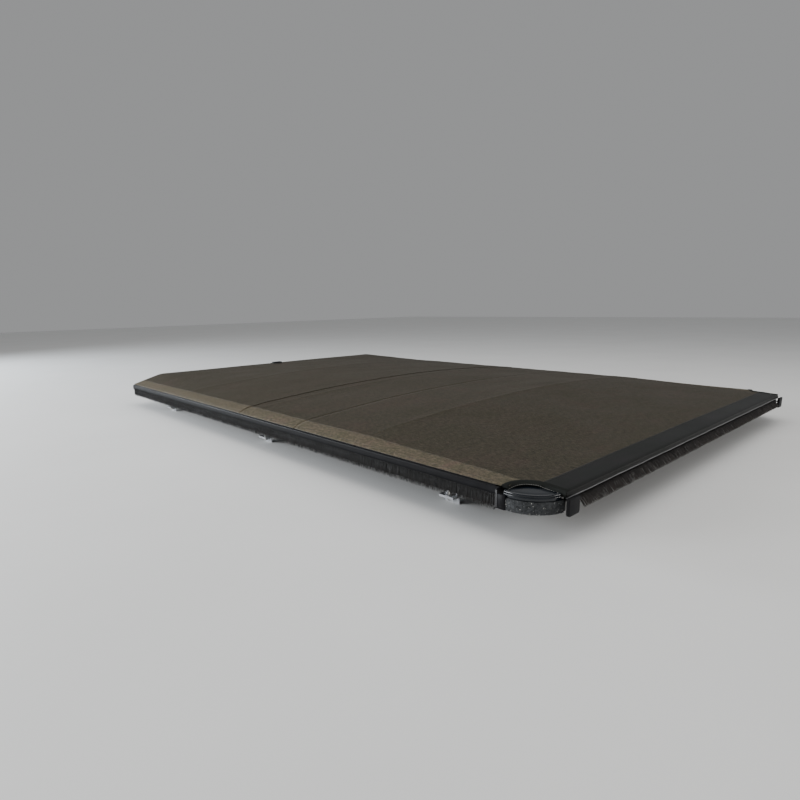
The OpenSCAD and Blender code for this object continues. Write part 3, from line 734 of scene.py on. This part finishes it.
def make_arch_binding(side):
    """Folded tape round the cut over a corner cap: flat over the dome, hanging at both ends."""
    label = "left" if side < 0 else "right"
    line = cut_line(-8, 44)
    last = len(line) - 1
    rings, row = [], []
    for k, (u, y, inward) in enumerate(line):
        droop = max(1 - k / (0.34 * last), (k - 0.72 * last) / (0.28 * last), 0)
        droop = droop * droop * (3 - 2 * droop)
        fall, over = mix(3.6, 11.5, droop), mix(7.0, 1.6, droop)
        u = min(u, HALF_W)
        base = float(cloth_z(u + inward[0] * 12 * MM, max(y + inward[1] * 12 * MM, -HALF_L))) + 0.8 * MM
        low = mix(float(cloth_z(u, max(y, -HALF_L))), base, 0.35)
        profile = [(13.0, 0.1), (12.6, 1.1), (9.0, 1.6), (4.0, 1.5), (0.4, 0.9), (-over * 0.45, -fall * 0.22),
                   (-over * 0.80, -fall * 0.55), (-over, -fall * 0.86), (-over + 0.2, -fall),
                   (-over + 1.4, -fall), (-over * 0.70 + 1.8, -fall * 0.66 - 0.4), (0.6, -3.2),
                   (4.0, -3.1), (10.0, -3.0), (10.4, -1.4)]
        ring = []
        for into, rise in profile:
            level = mix(low, base, min(1, max(0, into / 12)))
            ring.append((side * (u + inward[0] * into * MM), y + inward[1] * into * MM, level + rise * MM))
        rings.append(ring)
        out, rise = -over * 0.84, -fall * 0.60
        shift = (out - 0.2) * MM
        row.append((side * (u + inward[0] * shift), y + inward[1] * shift, low + (rise + 0.3) * MM))
    tape = recalc(loft(f"arch_binding_{label}", rings))
    dress(by_angle(tape, 50), M_REAR_TAPE, "span_4")
    stitch_rows(f"arch_stitches_{label}", [row[1:-1]], M_THREAD_PALE, "span_4", None,
                3.0 * MM, 4.6 * MM, 0.55 * MM)


M_REAR_TAPE = plastic("binding_tape", (0.005, 0.006, 0.005), (0.55, 0.72), 0.12, 900, 0.10, 0.0, 0.12)


def make_piping():
    """Thin welt along the lower edge of the rear hem, pale grey as a painted highlight along the roll's lower
    edge.
    """
    lo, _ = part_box("rear_clip")
    y, z = lo.y - 0.9 * MM, lo.z + 0.6 * MM
    r = 1.2 * MM
    end = ARCH.x - ARCH_R
    rings = []
    for x in np.linspace(-end, end, 90):
        wob = 0.25 * MM * math.sin(x * 31) + 0.15 * MM * math.sin(x * 77)
        turn = np.linspace(0, 2 * math.pi, 11)[:-1]
        rings.append([(x, y + r * math.cos(a), z + wob + r * math.sin(a)) for a in turn])
    dress(recalc(loft("rear_hem_welt", rings)), M_PALE_EDGE_AND_PAINTED_HIGHLIGHT, "span_4")


# ---------------------------------------------------------------- bristle seals


def bristles(name, starts, down, out, length, depth, material, seed, tufted):
    """Dense strands: starts are root points, down and out unit vectors, each strand a thin tapered blade."""
    rng = random.Random(seed)
    verts, faces, shade = [], [], []
    along = Vector(down).cross(Vector(out)).normalized()
    down, out = Vector(down), Vector(out)
    for start in starts:
        root = Vector(start)
        place = root.dot(along) / MM
        clump = tufted * noise.noise(Vector((place * 0.05, seed, 0)))
        tone = 0.42 + 0.30 * noise.noise(Vector((place * 0.42, 3.7, seed))) + 0.18 * noise.noise(
            Vector((place * 0.06, 8.1, seed))) + rng.gauss(0, 0.10)
        tone = 1.0 if rng.random() < 0.006 else min(0.9, max(0.05, tone))
        root += along * rng.uniform(-0.6, 0.6) * MM + out * rng.uniform(0, depth)
        lean = along * (rng.gauss(0, 0.9) * MM + clump * 3 * MM) + out * rng.uniform(-0.2, 1.6) * MM
        tall = length * rng.uniform(0.90, 1.0) * (1 - 0.10 * abs(clump))
        wide = rng.uniform(0.35, 0.65) * MM
        base = len(verts)
        for share, grow in ((0.0, 0.8), (0.45, 1.0), (0.85, 0.85), (1.0, 0.35)):
            centre = root + down * tall * share + lean * share * share
            for a in (0.3, 2.4, 4.5):
                verts.append(centre + along * math.cos(a) * wide * grow
                             + out * math.sin(a) * wide * 0.7 * grow)
                # Painted shade: each strand's tone falls to under half at its root, for the shade deep in the
                # pile.
                shade.append(tone * (0.45 + 0.55 * share))
        for ring in range(3):
            for s in range(3):
                a, b = base + ring * 3 + s, base + ring * 3 + (s + 1) % 3
                faces.append((a, b, b + 3, a + 3))
        faces.append((base + 9, base + 10, base + 11))
        faces.append((base + 2, base + 1, base))
    obj = new_mesh(name, verts, faces)
    recalc(obj)
    layer = obj.data.attributes.new("strand", "FLOAT", "POINT")
    layer.data.foreach_set("value", np.array(shade, np.float32))
    dress(obj, material, "frame")
    return obj


def backing(name, box, material):
    """The strip that the strands stand in: a strip with rolled edges and a wavy lower edge."""
    (x0, y0, z0), (x1, y1, z1) = box
    long_y = (y1 - y0) > (x1 - x0)
    a0, a1, b0, b1 = (y0, y1, x0, x1) if long_y else (x0, x1, y0, y1)
    rings = []
    for s in np.linspace(a0, a1, 240):
        low = z0 + 0.9 * MM * noise.noise(Vector((s * 60, 1.3, 0)))
        edge = 1.0 * MM
        ring = [(b0, low + edge), (b0 + edge, low), (b1 - edge, low), (b1, low + edge), (b1, z1 - edge),
                (b1 - edge, z1), (b0 + edge, z1), (b0, z1 - edge)]
        rings.append([(b, s, z) if long_y else (s, b, z) for b, z in ring])
    obj = recalc(loft(name, rings))
    dress(by_angle(obj), material, "frame")
    return obj


def make_side_brush(side):
    label = "left" if side < 0 else "right"
    lo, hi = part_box(f"{label}_brush_seal")
    inner = hi.x if side < 0 else lo.x
    top = hi.z
    core = [(inner if side > 0 else inner - 3.2 * MM, lo.y, lo.z + 5 * MM),
            (inner + 3.2 * MM if side > 0 else inner, hi.y, top - 1 * MM)]
    strip = backing(f"{label}_brush_strip", core, M_RUBBER)
    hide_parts(f"{label}_brush_seal")
    ys = np.arange(lo.y + 1 * MM, hi.y - 1 * MM, 0.46 * MM)
    outer_root = inner + side * 3.0 * MM
    starts = [(outer_root, y, top - 1.2 * MM - 3.0 * MM * (k % 3)) for k, y in enumerate(ys)]
    bristles(f"{label}_brush_pile", starts, (0, 0, -1), (side, 0, 0), top - lo.z - 2 * MM, 2.2 * MM,
             M_BRISTLE_SIDE_PAINTED_SHADE, 11 + side, 1.0)


def make_rear_brush():
    """Strands lean outward from just under the hem's roll."""
    lo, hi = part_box("rear_brush_seal")
    core = [(lo.x, hi.y - 6.5 * MM, hi.z - 10 * MM), (hi.x, hi.y, hi.z - 0.5 * MM)]
    strip = backing("rear_brush_strip", core, M_RUBBER)
    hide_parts("rear_brush_seal")
    xs = np.arange(lo.x + 1 * MM, hi.x - 1 * MM, 0.40 * MM)
    lean = math.radians(38)
    down, out = (0, -math.sin(lean), -math.cos(lean)), (0, -math.cos(lean), math.sin(lean))
    starts = [(x, hi.y - 5.0 * MM, hi.z + 2.5 * MM - 0.8 * MM * (k % 3)) for k, x in enumerate(xs)]
    bristles("rear_brush_pile", starts, down, out, 30 * MM, 2.4 * MM, M_BRISTLE, 29, 0.4)


# ---------------------------------------------------------------- rear corners


def sweep(side, section, turns):
    """Turn a (radius, height) section round the corner's centre; turns run from front to rear."""
    return [[(side * (CORNER.x + pr * math.cos(t)), -CORNER.y - pr * math.sin(t), pz) for pr, pz in section]
            for t in turns]


def make_cap(side):
    """Glossy corner moulding: lower band, groove, rolled ridge, crease and shallow dome."""
    label = "left" if side < 0 else "right"
    lo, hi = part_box(f"rear_{label}_cap")
    r, top, base = CAP_R, hi.z, lo.z + 3.0 * MM
    outline = [(r - 3.0 * MM, lo.z), (r - 3.0 * MM, base), (r - 0.9 * MM, base),
               (r - 0.2 * MM, base + 0.7 * MM), (r, base + 2.5 * MM), (r, top - 8.4 * MM),
               (r - 0.5 * MM, top - 7.2 * MM), (r - 1.7 * MM, top - 6.4 * MM)]
    outline += [(r - 4.6 * MM + 3.9 * MM * math.cos(a), top - 5.1 * MM + 3.9 * MM * math.sin(a))
                for a in np.radians(np.linspace(-12, 112, 14))]
    outline += [(r - 8.2 * MM, top - 2.6 * MM), (r - 9.6 * MM, top - 3.0 * MM),
                (r - 11.2 * MM, top - 2.6 * MM)]
    outline += [(mix(r - 13 * MM, 0.5 * MM, k / 12),
                 top - 2.2 * MM * (1 - math.sin(math.pi / 2 * k / 12)) ** 1.3)
                for k in range(13)]
    inner = [(max(0.4 * MM, pr - 2.3 * MM), pz - 2.3 * MM if pz > base + 1 * MM else pz)
             for pr, pz in reversed(outline)]
    turns = np.radians(np.linspace(*CAP_TURNS, 72))
    cap = recalc(loft(f"corner_cap_{label}", sweep(side, outline + inner[:-2], turns)))
    dress(by_angle(cap, 40), M_GLOSS, "frame")
    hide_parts(f"rear_{label}_cap")


def make_skirt(side):
    """Rough rubber skirt under the cap, worn and uneven along its lower edge, with a smooth cheek."""
    label = "left" if side < 0 else "right"
    lo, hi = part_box(f"rear_{label}_skirt")
    top = lo.z + 26 * MM
    r_out, r_in = CAP_R + 2.6 * MM, CAP_R - 2.6 * MM
    turns = np.radians(np.linspace(-12, 80, 150))
    rings = []
    for t in turns:
        low = lo.z + 0.9 * MM * (1 + noise.noise(Vector((t * 18, 9.1, side))))
        ring = []
        for z in np.linspace(lo.z, top, 26):
            spot = Vector((t * 26, z * 320, side * 2.0))
            rough = 0.8 * MM * noise.noise(spot) + 0.5 * MM * noise.noise(spot * 2.7)
            ring.append((r_out + rough - 0.9 * MM * smooth(top - 4 * MM, top, z), max(z, low)))
        rings += sweep(side, ring + [(r_in, top), (r_in, low)], [t])
    skirt = recalc(loft(f"corner_skirt_{label}", rings))
    dress(skirt, M_SKIRT, "frame")
    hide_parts(f"rear_{label}_skirt")
    outer = hi.x if side > 0 else lo.x
    x0, x1 = sorted((outer, outer - side * 4 * MM))
    cheek = bar(f"corner_cheek_{label}", (x0, x1), (-CORNER.y + 6 * MM, hi.y), (lo.z, hi.z), 0.9 * MM)
    dress(cheek, M_MOULD, "frame")


def make_tab(side):
    """Block with rounded lower corners, on a short tongue from the rear bar."""
    label = "left" if side < 0 else "right"
    lo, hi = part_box(f"{label}_bar_tab")
    t, soft = 7 * MM, 5 * MM
    face = []
    for cx, cz, turn, r in ((hi.x - soft, lo.z + soft, -90, soft), (hi.x - 2 * MM, hi.z - 2 * MM, 0, 2 * MM),
                            (lo.x + 2 * MM, hi.z - 2 * MM, 90, 2 * MM),
                            (lo.x + soft, lo.z + soft, 180, soft)):
        face += [(cx + r * math.cos(a), cz + r * math.sin(a))
                 for a in np.radians(np.linspace(turn, turn + 90, 7))]
    cx, cz = (lo.x + hi.x) / 2, (lo.z + hi.z) / 2
    rings = []
    for y, inset in ((lo.y + t, 0.8 * MM), (lo.y + t - 0.8 * MM, 0), (lo.y + 1.1 * MM, 0),
                     (lo.y + 0.3 * MM, 0.4 * MM), (lo.y, 1.2 * MM)):
        rings.append([(x - math.copysign(inset, x - cx), y, z - math.copysign(inset, z - cz))
                      for x, z in face])
    block = recalc(loft(f"bar_tab_block_{label}", rings))
    dress(by_angle(block, 45), M_MOULD, "frame")
    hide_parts(f"{label}_bar_tab")
    x0, x1 = (lo.x, lo.x + 12 * MM) if side > 0 else (hi.x - 12 * MM, hi.x)
    tongue = bar(f"bar_tab_tongue_{label}", (x0, x1), (lo.y + t - 1 * MM, hi.y),
                 (hi.z - 14 * MM, hi.z - 11 * MM), 0.4 * MM)
    dress(tongue, M_MOULD, "frame")


def bar(name, xs, ys, zs, edge):
    """A bar along Y with softened edges and ends."""
    rings = []
    for y, inset in ((ys[0], edge), (ys[0] + edge, 0), (ys[1] - edge, 0), (ys[1], edge)):
        x0, x1, z0, z1 = xs[0] + inset, xs[1] - inset, zs[0] + inset, zs[1] - inset
        e = edge
        rings.append([(x0 + e, y, z0), (x1 - e, y, z0), (x1, y, z0 + e), (x1, y, z1 - e),
                      (x1 - e, y, z1), (x0 + e, y, z1), (x0, y, z1 - e), (x0, y, z0 + e)])
    return by_angle(recalc(loft(name, rings)), 50)


# ---------------------------------------------------------------- strap


def make_plate_edges(side):
    """Pale strips on the end plate's two outer corners."""
    label = "left" if side < 0 else "right"
    lo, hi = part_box(f"{label}_end_plate")
    outer = hi.x if side > 0 else lo.x
    for end, y in (("front", hi.y), ("rear", lo.y)):
        x0, x1 = sorted((outer - side * 0.5 * MM, outer + side * 0.3 * MM))
        edge = bar(f"{label}_plate_{end}_edge", (x0, x1), (y - 0.4 * MM, y + 0.4 * MM),
                   (lo.z + 2 * MM, hi.z - 3 * MM), 0.15 * MM)
        dress(edge, M_PALE_EDGE_AND_PAINTED_HIGHLIGHT, "frame")


def make_strap():
    """Webbing laid over the front edge, with a turned end."""
    lo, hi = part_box("roll_strap")
    half, t = (hi.x - lo.x) / 2, 1.5 * MM
    mid = (lo.x + hi.x) / 2
    edge_y, top_z = HALF_L, hi.z
    path = [(lo.y, top_z - 0.4 * MM), (lo.y + 20 * MM, top_z - 1.2 * MM),
            (edge_y - 20 * MM, top_z - 2.6 * MM), (edge_y, top_z - 3.2 * MM),
            (hi.y - 1.3 * MM, top_z - 3.8 * MM), (hi.y - 0.2 * MM, top_z - 5.5 * MM),
            (hi.y, top_z - 9 * MM), (hi.y, mix(top_z, lo.z, 0.6)), (hi.y - 0.3 * MM, lo.z + 0.5 * MM)]
    rings = []
    for y, z in path:
        flat = y < edge_y + 1 * MM
        drop = (0, -t) if flat else (-t, 0)
        ring = [(mid + half * s, y + dy, z + dz) for s, dy, dz in
                ((-1, 0, 0), (-0.9, 0, 0.15 * MM), (0, 0, 0), (0.9, 0, 0.15 * MM), (1, 0, 0),
                 (1, *drop), (0, *drop), (-1, *drop))]
        rings.append(ring)
    strap = recalc(loft("roll_up_strap", rings))
    dress(by_angle(strap), M_WEB, "frame")
    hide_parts("roll_strap")


# ---------------------------------------------------------------- finish of the carried-over nodes

FINISH = {"black_aluminium": M_COAT, "black_moulding": M_MOULD, "clip_strip": M_CLIP, "seal_rubber": M_RUBBER,
          "bow_tube": M_TUBE, "clamp_alloy": M_CAST, "zinc_steel": M_ZINC, "gloss_moulding": M_GLOSS,
          "webbing": M_WEB, "brush_pile": M_BRISTLE, "skirt_rubber": M_SKIRT, "vinyl": M_VINYL}


def finish_nodes():
    slots = {s["node"]: s["material_slot"] for s in frame["record"]["subparts"]}
    for name, obj in frame["nodes"].items():
        obj.data.materials.clear()
        obj.data.materials.append(FINISH[slots[name]])
        for face in obj.data.polygons:
            face.material_index = 0
        if obj.hide_render or name.startswith("cover_panel"):
            continue
        weld = obj.modifiers.new("weld", "WELD")
        weld.merge_threshold = 0.02 * MM
        soft = obj.modifiers.new("edges", "BEVEL")
        soft.width, soft.segments = 0.45 * MM, 2
        soft.limit_method, soft.angle_limit = "ANGLE", math.radians(50)
        soft.harden_normals = False


make_camera()
make_light()
make_floor()
make_cloth()
make_stitching()
make_piping()
for hand in (-1, 1):
    make_arch_binding(hand)
    make_side_brush(hand)
    make_cap(hand)
    make_skirt(hand)
    make_tab(hand)
    make_plate_edges(hand)
make_rear_brush()
make_strap()
finish_nodes()
